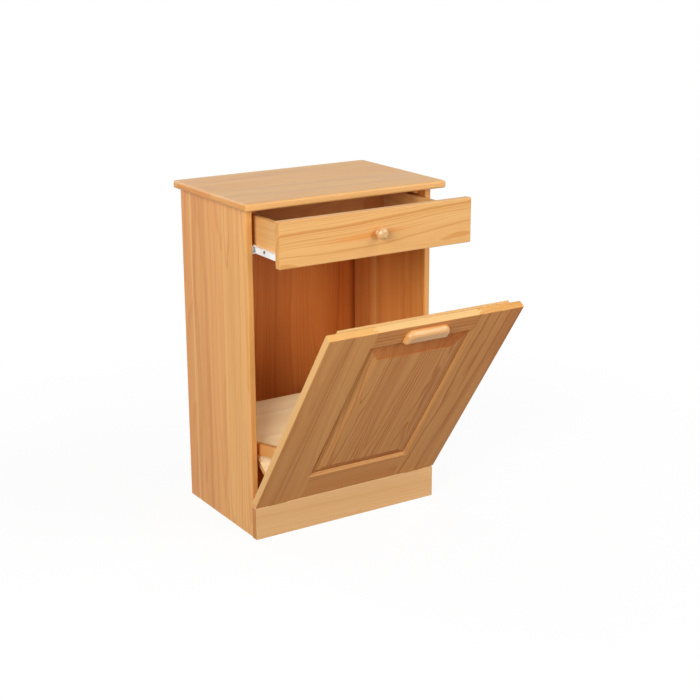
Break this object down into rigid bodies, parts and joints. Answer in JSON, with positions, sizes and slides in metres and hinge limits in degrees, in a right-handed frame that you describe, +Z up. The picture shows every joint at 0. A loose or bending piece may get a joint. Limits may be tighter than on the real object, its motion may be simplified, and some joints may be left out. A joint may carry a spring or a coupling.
{
  "type": "tilt-out trash cabinet",
  "caption": "Wooden kitchen waste cabinet with a pull-out drawer above a raised-panel door that tilts forward on bottom hinges and carries a bin shelf.",
  "frame": {"origin": "middle of the kickboard's underside, on the floor", "axes": "+X to the cabinet's right seen from its front, +Y from its front to its back, +Z up"},
  "size_m": [0.548, 0.6878, 0.813],
  "materials": {
    "pine": "satin lacquer",
    "plywood": "matte",
    "pale_wood": "satin lacquer",
    "white_steel": "gloss",
    "nylon": "gloss",
    "plated_steel": "plated"
  },
  "bodies": {
    "cabinet": {"side_panel_left": "pine", "side_panel_right": "pine", "top_board": "pine", "back_panel": "pine", "floor_board": "pine", "kickboard": "pine", "top_cleat_left": "pine", "top_cleat_right": "pine", "top_screws": "plated_steel", "stop_pegs": "pine", "runner_track_left": "white_steel", "runner_track_right": "white_steel", "runner_track_screws": "plated_steel", "hinge_leaves_fixed": "plated_steel", "hinge_pins": "plated_steel", "hinge_screws_fixed": "plated_steel"},
    "drawer": {"drawer_front": "pine", "drawer_side_left": "pine", "drawer_side_right": "pine", "drawer_back": "pine", "drawer_bottom": "plywood", "drawer_knob": "pale_wood", "knob_screw": "plated_steel", "drawer_rail_left": "white_steel", "drawer_rail_right": "white_steel", "drawer_rail_screws": "plated_steel"},
    "door": {"door_stile_left": "pine", "door_stile_right": "pine", "door_rail_top": "pine", "door_rail_bottom": "pine", "door_panel": "pine", "door_handle": "pale_wood", "handle_screws": "plated_steel", "door_liner": "plywood", "bin_shelf": "plywood", "shelf_batten": "pine", "shelf_brace_left": "pine", "shelf_brace_right": "pine", "hinge_leaves_door": "plated_steel", "hinge_screws_door": "plated_steel", "batten_screws": "plated_steel", "shelf_screws": "plated_steel", "brace_screws": "plated_steel"},
    "front_roller_left": {"front_roller_left": "nylon"},
    "front_roller_right": {"front_roller_right": "nylon"},
    "rear_roller_left": {"rear_roller_left": "nylon"},
    "rear_roller_right": {"rear_roller_right": "nylon"}
  },
  "joints": [
    {"name": "drawer_slide", "type": "slide", "parent": "cabinet", "child": "drawer", "axis": [0, -1, 0], "range_m": [-0.137, 0.083]},
    {"name": "door_tilt", "type": "hinge", "parent": "cabinet", "child": "door", "pos_m": [0, -0.007, 0.08125], "axis": [1, 0, 0], "range_deg": [-34.5, 0]},
    {"name": "front_roller_left_spin", "type": "hinge", "parent": "cabinet", "child": "front_roller_left", "pos_m": [-0.23075, 0.027, 0.6991], "axis": [1, 0, 0], "continuous": true},
    {"name": "rear_roller_left_spin", "type": "hinge", "parent": "drawer", "child": "rear_roller_left", "pos_m": [-0.23075, 0.1472, 0.6991], "axis": [1, 0, 0], "continuous": true},
    {"name": "front_roller_right_spin", "type": "hinge", "parent": "cabinet", "child": "front_roller_right", "pos_m": [0.23075, 0.027, 0.6991], "axis": [1, 0, 0], "continuous": true},
    {"name": "rear_roller_right_spin", "type": "hinge", "parent": "drawer", "child": "rear_roller_right", "pos_m": [0.23075, 0.1472, 0.6991], "axis": [1, 0, 0], "continuous": true}
  ],
  "couplings": [
    {"joint": "front_roller_left_spin", "follows": "drawer_slide", "rad_per_m": 138.89},
    {"joint": "rear_roller_left_spin", "follows": "drawer_slide", "rad_per_m": 138.89},
    {"joint": "front_roller_right_spin", "follows": "drawer_slide", "rad_per_m": 138.89},
    {"joint": "rear_roller_right_spin", "follows": "drawer_slide", "rad_per_m": 138.89}
  ]
}
